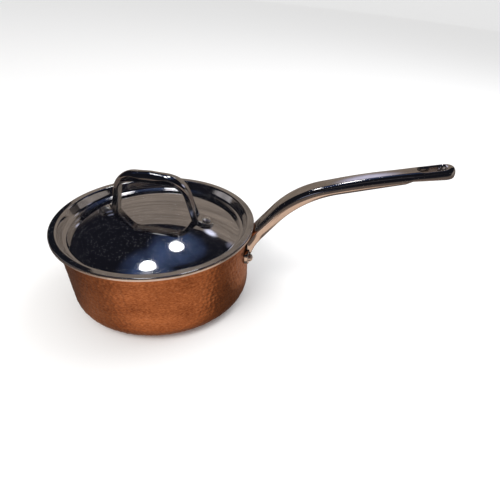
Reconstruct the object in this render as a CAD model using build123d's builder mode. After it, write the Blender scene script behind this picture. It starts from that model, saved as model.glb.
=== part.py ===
"""Hammered three-ply saucepan with a domed metal lid, in millimetres.

Z is up, the base rests on z = 0, the pan's axis is x = y = 0 and the long handle
points along +X. The lid and its loop are turned a few degrees from the handle.
"""
import os
from math import asin, atan2, cos, radians, sin, sqrt, tan

from build123d import *

os.makedirs("parts", exist_ok=True)

# pan body, measured on the outer copper face
base_r = 95.6            # wall line carried down to the base plane
wall_lean = 0.8          # degrees outward from vertical
corner_r = 17.6          # rounding between base and wall
lip_r = 103.0            # outer edge of the pouring lip
lip_under = 85.8         # height of the lip's underside
flare_r = 4.0            # rounding between wall and lip
copper_t = 0.5
core_t = 1.5
lining_t = 0.5
wall_t = copper_t + core_t + lining_t
rim_top = lip_under + wall_t

# lid
lid_t = 1.0
lid_flange_r = 102.4
lid_top = rim_top + lid_t
lid_step_r = 95.6        # where the flange turns down
crease_r = 90.5          # valley between the step and the dome
crease_z = 78.4
dome_top = 98.3
step_bend_r = 1.2        # bend under the flange's inner edge, on the top face
crease_bend_r = 4.0
lid_turn = -7.8          # degrees from the long handle

# lid loop
loop_w = 25.0            # width of the grip
loop_leg_w = 10.0
loop_foot_w = 16.0
loop_top = 143.2         # crown of the grip
loop_under = 132.0
loop_rise = 1.2          # bow of the grip along its length
loop_brow = 136.8        # height where the grip's crowned top meets its sides
loop_ankle_z = 96.8      # height of the outer corner between leg and foot
loop_corner_x = 35.0     # outer corner of the grip before rounding
loop_ankle_x = 45.8      # outer corner between leg and foot
loop_leg_t = 6.2         # leg thickness measured level
loop_outer_r = 21.0
loop_inner_r = 14.0
loop_ankle_r = 4.0
loop_edge_r = 1.8
foot_t = 3.2
foot_end = 61.0
lid_rivet_x = 53.1
lid_rivet_r = 2.4
lid_head_r = 4.4
lid_head_h = 2.6
lid_tail_r = 4.0
lid_tail_h = 1.2

# long handle, side view
neck_start = (86.0, 65.6)
knee = (142.0, 132.3)
knee_r = 99.0
bow = (210.6, 151.0)
bow_r = 600.0
far_top = (325.0, 172.7)
root_low = (96.5, 50.0)
heel = (104.5, 68.0)
heel_r = 25.0
under_knee = (152.4, 125.7)
under_knee_r = 110.0
step_low = (256.0, 149.6)
step_high = (262.5, 152.9)
far_low = (325.0, 160.8)

# long handle, plan view
handle_half = 11.5
paddle_half = 12.0
root_half = 13.0
tip_centre = 295.0
shoulder_r = 4.0
channel_half = 7.6
channel_skin = 4.0
channel_x1 = 116.0
channel_x2 = 252.0
slot_x1 = 268.5
slot_x2 = 297.5
slot_w = 12.0
slot_bevel = 2.0
rim_gap = 1.2            # air between the neck and the pan's lip

# foot plate of the long handle and its rivets
plate_t = 3.8
plate_w = 46.0
plate_low = 46.5
plate_high = 65.5
plate_corner_r = 7.5
rivet_y = 17.6
rivet_z = 56.0
rivet_r = 2.6
rivet_head_r = 4.0
rivet_head_h = 4.2
rivet_tail_r = 5.0
rivet_tail_h = 1.6
seat = 0.2               # depth a rivet head is pressed into its seat


def skin_points(depth):
    """Corners of the wall profile at a depth below the outer copper face."""
    shift = depth / cos(radians(wall_lean))
    slope = tan(radians(wall_lean))
    return [(0, depth), (base_r + depth * slope - shift, depth),
            (base_r + (lip_under + depth) * slope - shift, lip_under + depth),
            (lip_r, lip_under + depth)]


def ply_profile(outer_depth, inner_depth):
    """Closed half section of one ply; call it inside a BuildLine."""
    outside = FilletPolyline(*skin_points(outer_depth),
                             radius=[corner_r - outer_depth, flare_r + outer_depth])
    inside = FilletPolyline(*skin_points(inner_depth),
                            radius=[corner_r - inner_depth, flare_r + inner_depth])
    Line(outside @ 1, inside @ 1)
    Line(inside @ 0, outside @ 0)


def wall_outer_r(z):
    """Radius of the copper face on the straight part of the wall."""
    return base_r + z * tan(radians(wall_lean))


def rivet_profile(shank_r, head_r, head_h, tail_r, tail_h, grip):
    """Half section of a set rivet about its own Z, with z = 0 under the head."""
    round_h = head_h * 0.45
    cap_r = (head_r ** 2 + round_h ** 2) / (2 * round_h)
    half_angle = asin(head_r / cap_r) / 2
    Polyline((0, head_h), (0, -grip - tail_h), (tail_r - 0.4, -grip - tail_h),
             (tail_r, -grip - tail_h + 0.4), (tail_r, seat - grip), (shank_r, seat - grip),
             (shank_r, -seat), (head_r, -seat), (head_r, head_h - round_h))
    ThreePointArc((head_r, head_h - round_h),
                  (cap_r * sin(half_angle), head_h - cap_r * (1 - cos(half_angle))), (0, head_h))


# ---- rivets of the long handle ----
rivet_seat_r = wall_outer_r(rivet_z) + plate_t / cos(radians(wall_lean))
rivet_az = asin(rivet_y / rivet_seat_r)


def wall_rivet_place(side):
    """Plane under a rivet's head, its Z square to the leaning wall."""
    lean = radians(wall_lean)
    out = Vector(cos(rivet_az) * cos(lean), side * sin(rivet_az) * cos(lean), -sin(lean))
    spot = Vector(rivet_seat_r * cos(rivet_az), side * rivet_seat_r * sin(rivet_az), rivet_z)
    return Plane(origin=spot, z_dir=out)


with BuildPart() as wall_rivet_blank:
    with BuildSketch(Plane.XZ):
        with BuildLine():
            rivet_profile(rivet_r, rivet_head_r, rivet_head_h, rivet_tail_r, rivet_tail_h,
                          wall_t + plate_t)
        make_face()
    revolve(axis=Axis.Z)

with BuildPart() as handle_rivet_near:
    with Locations(wall_rivet_place(-1).location):
        add(wall_rivet_blank.part)

with BuildPart() as handle_rivet_far:
    with Locations(wall_rivet_place(1).location):
        add(wall_rivet_blank.part)

# ---- rivets of the lid loop ----
dome_r = (crease_r ** 2 + (dome_top - crease_z) ** 2) / (2 * (dome_top - crease_z))
dome_centre = dome_top - dome_r
foot_tilt = asin(lid_rivet_x / dome_r)


def lid_rivet_place(side):
    """Plane under a lid rivet's head, its Z square to the dome."""
    reach = (dome_r + foot_t) * sin(foot_tilt)
    turn = radians(lid_turn)
    out = Vector(side * sin(foot_tilt) * cos(turn), side * sin(foot_tilt) * sin(turn), cos(foot_tilt))
    spot = Vector(side * reach * cos(turn), side * reach * sin(turn),
                  dome_centre + (dome_r + foot_t) * cos(foot_tilt))
    return Plane(origin=spot, z_dir=out)


with BuildPart() as lid_rivet_blank:
    with BuildSketch(Plane.XZ):
        with BuildLine():
            rivet_profile(lid_rivet_r, lid_head_r, lid_head_h, lid_tail_r, lid_tail_h, lid_t + foot_t)
        make_face()
    revolve(axis=Axis.Z)

with BuildPart() as lid_rivet_left:
    with Locations(lid_rivet_place(-1).location):
        add(lid_rivet_blank.part)

with BuildPart() as lid_rivet_right:
    with Locations(lid_rivet_place(1).location):
        add(lid_rivet_blank.part)

# ---- pan body: three bonded plies ----
with BuildPart() as copper_shell:
    with BuildSketch(Plane.XZ):
        with BuildLine():
            ply_profile(0, copper_t)
        make_face()
    revolve(axis=Axis.Z)
    add(handle_rivet_near.part, mode=Mode.SUBTRACT)
    add(handle_rivet_far.part, mode=Mode.SUBTRACT)

with BuildPart() as aluminium_core:
    with BuildSketch(Plane.XZ):
        with BuildLine():
            ply_profile(copper_t, copper_t + core_t)
        make_face()
    revolve(axis=Axis.Z)
    add(handle_rivet_near.part, mode=Mode.SUBTRACT)
    add(handle_rivet_far.part, mode=Mode.SUBTRACT)

with BuildPart() as steel_lining:
    with BuildSketch(Plane.XZ):
        with BuildLine():
            ply_profile(copper_t + core_t, wall_t)
        make_face()
    revolve(axis=Axis.Z)
    add(handle_rivet_near.part, mode=Mode.SUBTRACT)
    add(handle_rivet_far.part, mode=Mode.SUBTRACT)

# ---- long handle ----
bar_slope = (far_top[1] - bow[1]) / (far_top[0] - bow[0])
skin_drop = channel_skin / cos(atan2(bow[1] - knee[1], bow[0] - knee[0]))

with BuildPart() as foot_plate:
    with BuildSketch(Plane.XZ):
        with BuildLine():
            Polyline((wall_outer_r(plate_low - 5), plate_low - 5),
                     (wall_outer_r(plate_low - 5) + plate_t, plate_low - 5),
                     (wall_outer_r(plate_high + 5) + plate_t, plate_high + 5),
                     (wall_outer_r(plate_high + 5), plate_high + 5), close=True)
        make_face()
    revolve(axis=Axis.Z)
    with BuildSketch(Plane.YZ):
        with Locations((0, (plate_low + plate_high) / 2)):
            RectangleRounded(plate_w, plate_high - plate_low, plate_corner_r)
    extrude(amount=lip_r + 5, mode=Mode.INTERSECT)
    outer_face = foot_plate.faces().filter_by(GeomType.CONE).sort_by(SortBy.AREA)[-1]
    fillet(outer_face.edges(), 0.8)

with BuildPart() as pan_clearance:
    with BuildSketch(Plane.XZ):
        with BuildLine():
            Polyline((0, plate_low - 10), (wall_outer_r(plate_low) + plate_t / 2, plate_low - 10),
                     (wall_outer_r(plate_high) + plate_t / 2, plate_high - 1.5),
                     (wall_outer_r(plate_high) + rim_gap, plate_high - 1.5),
                     (wall_outer_r(plate_high) + rim_gap, lip_under - flare_r - 1),
                     (lip_r + rim_gap, lip_under - 0.6),
                     (lip_r + rim_gap, lid_top + rim_gap), (0, lid_top + rim_gap), close=True)
        make_face()
    revolve(axis=Axis.Z)

with BuildPart() as long_handle:
    with BuildSketch(Plane.XZ):
        with BuildLine():
            crown = FilletPolyline(neck_start, knee, bow, far_top, radius=[knee_r, bow_r])
            belly = FilletPolyline(root_low, heel, under_knee, step_low, radius=[heel_r, under_knee_r])
            Polyline(belly @ 1, step_high, far_low, crown @ 1)
            Line(belly @ 0, crown @ 0)
        make_face()
    extrude(amount=root_half + 4, both=True)
    with BuildSketch(Plane.XY):
        with BuildLine():
            side = Spline((84, root_half + 2), (97, root_half - 0.2), (112, handle_half), (180, handle_half),
                          (240, handle_half + 0.1), (tip_centre, paddle_half), tangents=((1, -0.2), (1, 0)))
            RadiusArc(side @ 1, (tip_centre + paddle_half, 0), paddle_half)
            Polyline((tip_centre + paddle_half, 0), (84, 0), side @ 0)
        make_face()
        mirror(about=Plane.XZ)
    extrude(amount=400, mode=Mode.INTERSECT)
    top_faces = long_handle.faces().filter_by(lambda f: f.normal_at(f.center()).Z > 0.3)
    top_edges = top_faces.edges().filter_by(
        lambda e: (e @ 0.5).X > 90 and (abs((e @ 0.5).Y) > 3 or (e @ 0.5).X > tip_centre + 5))
    fillet(top_edges, shoulder_r)
    with BuildSketch(Plane.XZ):
        with BuildLine():
            roof = FilletPolyline((neck_start[0], neck_start[1] - skin_drop - 2.0),
                                  (knee[0] + 1.2, knee[1] - skin_drop), (bow[0], bow[1] - skin_drop),
                                  (far_top[0], far_top[1] - skin_drop),
                                  radius=[knee_r - channel_skin, bow_r])
            Polyline(roof @ 1, (far_top[0], 20), (neck_start[0], 20), roof @ 0)
        make_face()
        with Locations(((channel_x1 + channel_x2) / 2, 100)):
            Rectangle(channel_x2 - channel_x1, 200, mode=Mode.INTERSECT)
    extrude(amount=channel_half, both=True, mode=Mode.SUBTRACT)
    slot_mid = (slot_x1 + slot_x2) / 2
    slot_z = bow[1] + (slot_mid - bow[0]) * bar_slope
    slot_plane = Plane(origin=(slot_mid, 0, slot_z), x_dir=(1, 0, bar_slope), z_dir=(-bar_slope, 0, 1))
    with BuildSketch(slot_plane):
        SlotOverall(slot_x2 - slot_x1, slot_w)
    extrude(amount=30, both=True, mode=Mode.SUBTRACT)
    slot_rim = long_handle.edges().filter_by(
        lambda e: abs((e @ 0.5).Y) < slot_w / 2 + 0.1 and slot_x1 - 1 < (e @ 0.5).X < slot_x2 + 1
        and slot_plane.to_local_coords(e @ 0.5).Z > -1.0 and slot_plane.to_local_coords(e @ 0).Z > -1.0
        and slot_plane.to_local_coords(e @ 1).Z > -1.0)
    fillet(slot_rim, slot_bevel)
    add(pan_clearance.part, mode=Mode.SUBTRACT)
    add(foot_plate.part)
    add(handle_rivet_near.part, mode=Mode.SUBTRACT)
    add(handle_rivet_far.part, mode=Mode.SUBTRACT)

# ---- lid: one pressed sheet ----
step_slope = atan2(lid_top - crease_z, lid_step_r - crease_r)


def step_line_r(z, below):
    """Radius of the step wall at a height, on a face this far below the top one."""
    return crease_r + (z - crease_z) / tan(step_slope) + below / sin(step_slope)


def crease_corner(below):
    """Where the step wall meets the dome, on a face this far below the top one."""
    z = crease_z
    for _ in range(12):
        z = dome_centre + sqrt((dome_r - below) ** 2 - step_line_r(z, below) ** 2)
    return step_line_r(z, below), z


with BuildPart() as lid_shell:
    with BuildSketch(Plane.XZ) as lid_section:
        with BuildLine():
            Line((0, dome_top - lid_t), (0, dome_top))
            RadiusArc((0, dome_top), crease_corner(0), dome_r)
            Polyline(crease_corner(0), (step_line_r(lid_top, 0), lid_top), (lid_flange_r, lid_top),
                     (lid_flange_r, rim_top), (step_line_r(rim_top, lid_t), rim_top), crease_corner(lid_t))
            RadiusArc((0, dome_top - lid_t), crease_corner(lid_t), dome_r - lid_t)
        make_face()
        for corner, radius in ((crease_corner(0), crease_bend_r), (crease_corner(lid_t), crease_bend_r + lid_t),
                               ((step_line_r(lid_top, 0), lid_top), step_bend_r + lid_t),
                               ((step_line_r(rim_top, lid_t), rim_top), step_bend_r)):
            fillet(lid_section.vertices().sort_by_distance((corner[0], corner[1], 0))[0], radius)
    revolve(axis=Axis.Z)
    add(lid_rivet_left.part, mode=Mode.SUBTRACT)
    add(lid_rivet_right.part, mode=Mode.SUBTRACT)

# ---- lid loop ----
foot_line_z = dome_centre + (dome_r + foot_t) * cos(foot_tilt)
foot_line_x = (dome_r + foot_t) * sin(foot_tilt)
leg_lean = (loop_ankle_x - loop_corner_x) / (loop_top - loop_ankle_z)


def foot_top_z(x):
    """Height of the foot's top face, a plane square to its rivet."""
    return foot_line_z - (x - foot_line_x) * tan(foot_tilt)


def leg_inner_x(z):
    """Inner face of a leg at a height."""
    return loop_corner_x + (loop_top - z) * leg_lean - loop_leg_t


with BuildPart() as loop_blank:
    with BuildSketch(Plane.XZ):
        with BuildLine():
            outer = FilletPolyline((foot_end + 5, foot_top_z(foot_end + 5)),
                                   (loop_ankle_x, foot_top_z(loop_ankle_x)),
                                   (loop_corner_x, loop_top - loop_rise), (0, loop_top),
                                   (-loop_corner_x, loop_top - loop_rise),
                                   (-loop_ankle_x, foot_top_z(loop_ankle_x)),
                                   (-foot_end - 5, foot_top_z(foot_end + 5)),
                                   radius=[loop_ankle_r, loop_outer_r, 300, loop_outer_r, loop_ankle_r])
            inner = FilletPolyline((leg_inner_x(80), 80), (leg_inner_x(loop_under), loop_under),
                                   (-leg_inner_x(loop_under), loop_under), (-leg_inner_x(80), 80),
                                   radius=loop_inner_r)
            Polyline(outer @ 0, (foot_end + 5, 80), inner @ 0)
            Polyline(inner @ 1, (-foot_end - 5, 80), outer @ 1)
        make_face()
    extrude(amount=loop_w / 2, both=True)
    with BuildSketch(Plane.XY):
        with BuildLine():
            taper = Spline((0, loop_w / 2), (16, loop_w / 2 - 0.8), (29, loop_w / 2 - 4.6), (41, loop_leg_w / 2),
                           (46, loop_leg_w / 2 + 0.6), (foot_end - loop_foot_w / 2, loop_foot_w / 2),
                           tangents=((1, 0), (1, 0)))
            RadiusArc(taper @ 1, (foot_end, 0), loop_foot_w / 2)
            Polyline((foot_end, 0), (0, 0), taper @ 0)
        make_face()
        mirror(about=Plane.XZ)
        mirror(about=Plane.YZ)
    extrude(amount=200, mode=Mode.INTERSECT)
    with Locations((0, 0, dome_centre)):
        Sphere(radius=dome_r, mode=Mode.SUBTRACT)
    with BuildSketch(Plane.YZ):
        with Locations((0, loop_brow)):
            Ellipse(loop_w / 2 + 0.1, loop_top - loop_brow)
        with Locations((0, loop_brow / 2)):
            Rectangle(loop_w + 0.2, loop_brow)
    extrude(amount=foot_end + 10, both=True, mode=Mode.INTERSECT)
    grip_edges = loop_blank.edges().filter_by(
        lambda e: abs((e @ 0.5).Y) > 2.5 and (e @ 0.5).Z > 97 and abs((e @ 0.5).X) < loop_ankle_x)
    fillet(grip_edges, loop_edge_r)

with BuildPart() as lid_handle:
    with Locations(Location((0, 0, 0), (0, 0, lid_turn))):
        add(loop_blank.part)
    add(lid_rivet_left.part, mode=Mode.SUBTRACT)
    add(lid_rivet_right.part, mode=Mode.SUBTRACT)

for piece, label in ((copper_shell, "copper_shell"), (aluminium_core, "aluminium_core"),
                     (steel_lining, "steel_lining"), (long_handle, "long_handle"),
                     (handle_rivet_near, "handle_rivet_near"), (handle_rivet_far, "handle_rivet_far"),
                     (lid_shell, "lid_shell"), (lid_handle, "lid_handle"),
                     (lid_rivet_left, "lid_rivet_left"), (lid_rivet_right, "lid_rivet_right")):
    piece.part.label = label
    export_step(piece.part, "parts/" + label + ".step")
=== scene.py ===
from math import asin, atan2, cos, pi, radians, sin, sqrt, tan

import bmesh
import bpy
import numpy as np
from mathutils import Matrix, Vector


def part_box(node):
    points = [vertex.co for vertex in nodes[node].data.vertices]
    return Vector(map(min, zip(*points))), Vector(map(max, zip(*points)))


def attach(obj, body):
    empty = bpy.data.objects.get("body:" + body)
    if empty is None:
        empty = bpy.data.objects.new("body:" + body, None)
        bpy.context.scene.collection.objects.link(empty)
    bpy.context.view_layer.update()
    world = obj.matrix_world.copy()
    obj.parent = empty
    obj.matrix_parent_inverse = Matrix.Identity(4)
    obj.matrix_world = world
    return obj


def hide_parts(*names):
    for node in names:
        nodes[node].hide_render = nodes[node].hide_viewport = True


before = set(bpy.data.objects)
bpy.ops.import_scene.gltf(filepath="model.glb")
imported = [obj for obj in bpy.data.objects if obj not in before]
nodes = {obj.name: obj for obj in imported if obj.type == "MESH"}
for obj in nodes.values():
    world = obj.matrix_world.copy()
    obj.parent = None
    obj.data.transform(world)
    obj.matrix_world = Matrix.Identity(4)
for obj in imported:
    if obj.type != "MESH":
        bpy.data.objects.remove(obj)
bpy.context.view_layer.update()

mm = 0.001
print("frame loaded:", sorted(nodes))


# Mesh tools
# Points and faces become a mesh object at the origin, shaded smooth up to an edge angle.
def meshPiece(name, points, faces, uv=None, sharpAngle=38, tidy=False):
    mesh = bpy.data.meshes.new(name)
    mesh.from_pydata(np.asarray(points, float) * mm, [], faces)
    mesh.update()
    if uv is not None:
        loopVertex = np.empty(len(mesh.loops), np.int64)
        mesh.loops.foreach_get("vertex_index", loopVertex)
        layer = mesh.uv_layers.new(name="surface")
        layer.data.foreach_set("uv", uv[loopVertex].astype(np.float32).ravel())
    if tidy:
        work = bmesh.new()
        work.from_mesh(mesh)
        bmesh.ops.remove_doubles(work, verts=work.verts, dist=0.02 * mm)
        bmesh.ops.dissolve_degenerate(work, edges=work.edges, dist=0.005 * mm)
        bmesh.ops.recalc_face_normals(work, faces=work.faces)
        work.to_mesh(mesh)
        work.free()
    mesh.shade_smooth()
    mesh.set_sharp_from_angle(angle=radians(sharpAngle))
    piece = bpy.data.objects.new(name, mesh)
    bpy.context.scene.collection.objects.link(piece)
    return piece


# Quads between neighbouring rows of a grid of rows x columns points; the columns may close up.
def gridQuads(rows, columns, closed=True, first=0):
    i = np.arange(rows - 1)[:, None]
    j = np.arange(columns if closed else columns - 1)[None, :]
    k = (j + 1) % columns
    quads = np.stack([i * columns + j, i * columns + k,
                      (i + 1) * columns + k, (i + 1) * columns + j], axis=-1)
    return (quads.reshape(-1, 4) + first).tolist()


# A fan of triangles from one pole point to a closed ring.
def poleFan(pole, ringStart, columns, flip=False):
    j = np.arange(columns)
    k = (j + 1) % columns
    tri = np.stack([np.full(columns, pole), ringStart + j, ringStart + k], axis=-1)
    return (tri[:, ::-1] if flip else tri).tolist()


# A path with rounded corners: each straight run and each arc gets its own number of points.
# An arc's centre lies on the corner's bisector, at radius / sin(half the corner's angle).
# An ease above 1 crowds the first run's points towards its start.
def roundedPath(corners, radii, runs, arcs, ease=1.0):
    corner = np.array(corners, float)
    chunks = []
    start = corner[0]
    for i, radius in enumerate(radii):
        a, b, c = corner[i], corner[i + 1], corner[i + 2]
        inward, onward = (a - b) / np.linalg.norm(a - b), (c - b) / np.linalg.norm(c - b)
        half = np.arccos(np.clip(inward @ onward, -1, 1)) / 2
        reach = radius / tan(half)
        first, last = b + inward * reach, b + onward * reach
        centre = b + (inward + onward) / np.linalg.norm(inward + onward) * radius / sin(half)
        step = np.linspace(0, 1, runs[i], endpoint=False)[:, None] ** (ease if i == 0 else 1.0)
        chunks.append(start + (first - start) * step)
        swing = pi - 2 * half
        t = np.linspace(0, 1, arcs[i], endpoint=False)[:, None]
        chunks.append(centre + ((first - centre) * np.sin((1 - t) * swing)
                                + (last - centre) * np.sin(t * swing)) / sin(swing))
        start = last
    chunks.append(start + (corner[-1] - start) * np.linspace(0, 1, runs[-1])[:, None])
    return np.concatenate(chunks)


# Turns a half section about the upright axis: point = (r cos a, r sin a, z), with a pole at each end.
# nudge(angle, arc length) moves the rings along the section's own normal.
def turnedPiece(name, section, columns, nudge=None, sharpAngle=38):
    r, z = section[:, 0], section[:, 1]
    slope = np.gradient(section, axis=0)
    slope /= np.linalg.norm(slope, axis=1)[:, None] + 1e-12
    run = np.concatenate([[0], np.cumsum(np.linalg.norm(np.diff(section, axis=0), axis=1))])
    angle = np.linspace(0, 2 * pi, columns, endpoint=False)
    ringR, ringZ = r[1:-1, None], z[1:-1, None]
    lift = 0.0 if nudge is None else nudge(angle[None, :], run[1:-1, None])
    ringR = ringR + slope[1:-1, 1:2] * lift
    ringZ = ringZ - slope[1:-1, 0:1] * lift
    grid = np.stack([ringR * np.cos(angle), ringR * np.sin(angle),
                     ringZ + 0 * angle[None, :]], axis=-1).reshape(-1, 3)
    rows = len(r) - 2
    points = np.concatenate([grid, [[0, 0, z[0]], [0, 0, z[-1]]]])
    uvRing = np.stack([np.broadcast_to(angle[None, :] / (2 * pi), (rows, columns)),
                       np.broadcast_to(run[1:-1, None] / run[-1], (rows, columns))], axis=-1)
    uv = np.concatenate([uvRing.reshape(-1, 2), [[0.5, 0], [0.5, 1]]])
    faces = gridQuads(rows, columns)
    faces += poleFan(len(points) - 2, 0, columns, flip=True)
    faces += poleFan(len(points) - 1, (rows - 1) * columns, columns)
    return meshPiece(name, points, faces, uv, sharpAngle)


# Shader tools
# One node, its settings and its inputs: a socket is linked, anything else is set on the input.
def addNode(tree, kind, inputs=None, **settings):
    made = tree.nodes.new(kind)
    for key, value in settings.items():
        setattr(made, key, value)
    for key, value in (inputs or {}).items():
        if isinstance(value, bpy.types.NodeSocket):
            tree.links.new(value, made.inputs[key])
        else:
            made.inputs[key].default_value = value
    return made


def mathNode(tree, operation, a, b):
    return addNode(tree, "ShaderNodeMath", {0: a, 1: b}, operation=operation).outputs[0]


# The dot product and the length come out of the second socket, a vector out of the first.
def vectorNode(tree, operation, *inputs):
    made = addNode(tree, "ShaderNodeVectorMath", dict(enumerate(inputs)), operation=operation)
    return made.outputs[1 if operation in ("DOT_PRODUCT", "LENGTH") else 0]


# Carries a value from one span to another, held at both ends.
def spanNode(tree, value, low, high, toLow=0.0, toHigh=1.0, curve="LINEAR"):
    return addNode(tree, "ShaderNodeMapRange", {"Value": value, "From Min": low, "From Max": high,
                                                "To Min": toLow, "To Max": toHigh},
                   interpolation_type=curve).outputs[0]


def shaderGroup(name, inputs, outputs):
    tree = bpy.data.node_groups.new(name, "ShaderNodeTree")
    for label, kind, value in inputs:
        socket = tree.interface.new_socket(label, in_out="INPUT", socket_type=kind)
        if value is not None:
            socket.default_value = value
    for label, kind in outputs:
        tree.interface.new_socket(label, in_out="OUTPUT", socket_type=kind)
    return tree, tree.nodes.new("NodeGroupInput").outputs, tree.nodes.new("NodeGroupOutput")


# Long thin marks: noise squeezed across and stretched along one direction, cut off near its top.
def makeScratches():
    tree, inside, out = shaderGroup("fineScratches", [
        ("Vector", "NodeSocketVector", None), ("Turn", "NodeSocketFloat", 0.0),
        ("Across", "NodeSocketFloat", 900.0), ("Along", "NodeSocketFloat", 12.0),
        ("Cut", "NodeSocketFloat", 0.66)], [("Mask", "NodeSocketFloat")])
    turned = addNode(tree, "ShaderNodeVectorRotate",
                     {"Vector": inside["Vector"], "Angle": inside["Turn"]}, rotation_type="Z_AXIS")
    stretch = addNode(tree, "ShaderNodeCombineXYZ",
                      {"X": inside["Along"], "Y": inside["Across"], "Z": inside["Along"]})
    scaled = vectorNode(tree, "MULTIPLY", turned.outputs[0], stretch.outputs[0])
    streak = addNode(tree, "ShaderNodeTexNoise",
                     {"Vector": scaled, "Scale": 1.0, "Detail": 2.0, "Roughness": 0.55})
    top = mathNode(tree, "ADD", inside["Cut"], 0.09)
    mask = spanNode(tree, streak.outputs["Fac"], inside["Cut"], top, curve="SMOOTHSTEP")
    tree.links.new(mask, out.inputs["Mask"])
    return tree


# Specks: round spots at the nearest points of a scattered lattice, thinned out by a slow noise.
def makeDust():
    tree, inside, out = shaderGroup("dustSpecks", [
        ("Vector", "NodeSocketVector", None), ("Scale", "NodeSocketFloat", 900.0),
        ("Size", "NodeSocketFloat", 0.16), ("Spread", "NodeSocketFloat", 0.5)],
        [("Mask", "NodeSocketFloat")])
    lattice = addNode(tree, "ShaderNodeTexVoronoi", {"Vector": inside["Vector"], "Scale": inside["Scale"]})
    spot = mathNode(tree, "LESS_THAN", lattice.outputs["Distance"], inside["Size"])
    chance = addNode(tree, "ShaderNodeSeparateColor", {"Color": lattice.outputs["Color"]})
    drift = addNode(tree, "ShaderNodeTexNoise",
                    {"Vector": inside["Vector"], "Scale": 26.0, "Detail": 3.0, "Roughness": 0.6})
    level = mathNode(tree, "MULTIPLY", drift.outputs["Fac"], inside["Spread"])
    chosen = mathNode(tree, "LESS_THAN", chance.outputs[0], level)
    mask = mathNode(tree, "MULTIPLY", spot, chosen)
    tree.links.new(mask, out.inputs["Mask"])
    return tree


# Slow drift: two sizes of noise added, for colour and roughness that change over the surface.
def makeDrift():
    tree, inside, out = shaderGroup("surfaceDrift", [
        ("Vector", "NodeSocketVector", None), ("Broad", "NodeSocketFloat", 22.0),
        ("Small", "NodeSocketFloat", 160.0), ("Share", "NodeSocketFloat", 0.4)],
        [("Value", "NodeSocketFloat")])
    broad = addNode(tree, "ShaderNodeTexNoise",
                    {"Vector": inside["Vector"], "Scale": inside["Broad"], "Detail": 3.0})
    small = addNode(tree, "ShaderNodeTexNoise",
                    {"Vector": inside["Vector"], "Scale": inside["Small"], "Detail": 4.0, "Roughness": 0.6})
    both = addNode(tree, "ShaderNodeMix",
                   {"Factor": inside["Share"], "A": broad.outputs["Fac"], "B": small.outputs["Fac"]})
    tree.links.new(spanNode(tree, both.outputs[0], 0.32, 0.68), out.inputs["Value"])
    return tree


# Edge wear: how far a softened normal leaves the true one, broken up by noise.
def makeEdgeWear():
    tree, inside, out = shaderGroup("edgeWear", [
        ("Vector", "NodeSocketVector", None), ("Amount", "NodeSocketFloat", 1.0)],
        [("Mask", "NodeSocketFloat")])
    soft = addNode(tree, "ShaderNodeBevel", {"Radius": 0.0007}, samples=4)
    plain = addNode(tree, "ShaderNodeNewGeometry")
    agree = vectorNode(tree, "DOT_PRODUCT", soft.outputs[0], plain.outputs["Normal"])
    leave = spanNode(tree, agree, 0.995, 0.86)
    broken = addNode(tree, "ShaderNodeTexNoise",
                     {"Vector": inside["Vector"], "Scale": 420.0, "Detail": 3.0})
    cut = spanNode(tree, broken.outputs["Fac"], 0.38, 0.6)
    mask = mathNode(tree, "MULTIPLY", leave, cut)
    tree.links.new(mathNode(tree, "MULTIPLY", mask, inside["Amount"]), out.inputs["Mask"])
    return tree


scratches, dust, drift, edgeWear = makeScratches(), makeDust(), makeDrift(), makeEdgeWear()


def useGroup(tree, group, inputs):
    return addNode(tree, "ShaderNodeGroup", inputs, node_tree=group).outputs[0]


def newMaterial(name):
    material = bpy.data.materials.new(name)
    material.use_nodes = True
    tree = material.node_tree
    tree.nodes.clear()
    out = addNode(tree, "ShaderNodeOutputMaterial")
    shader = addNode(tree, "ShaderNodeBsdfPrincipled")
    tree.links.new(shader.outputs[0], out.inputs["Surface"])
    place = addNode(tree, "ShaderNodeTexCoord").outputs["Object"]
    return material, tree, shader, place


def mixValue(tree, factor, a, b):
    return addNode(tree, "ShaderNodeMix", {"Factor": factor, "A": a, "B": b}).outputs[0]


# The colour inputs of a mix node are its seventh and eighth.
def mixColour(tree, factor, a, b):
    made = addNode(tree, "ShaderNodeMix", {0: factor, 6: a, 7: b}, data_type="RGBA")
    return made.outputs[2]


def paint(name, material):
    slots = nodes[name].material_slots
    if not slots:
        nodes[name].data.materials.append(material)
    for one in slots:
        one.material = material


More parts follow.
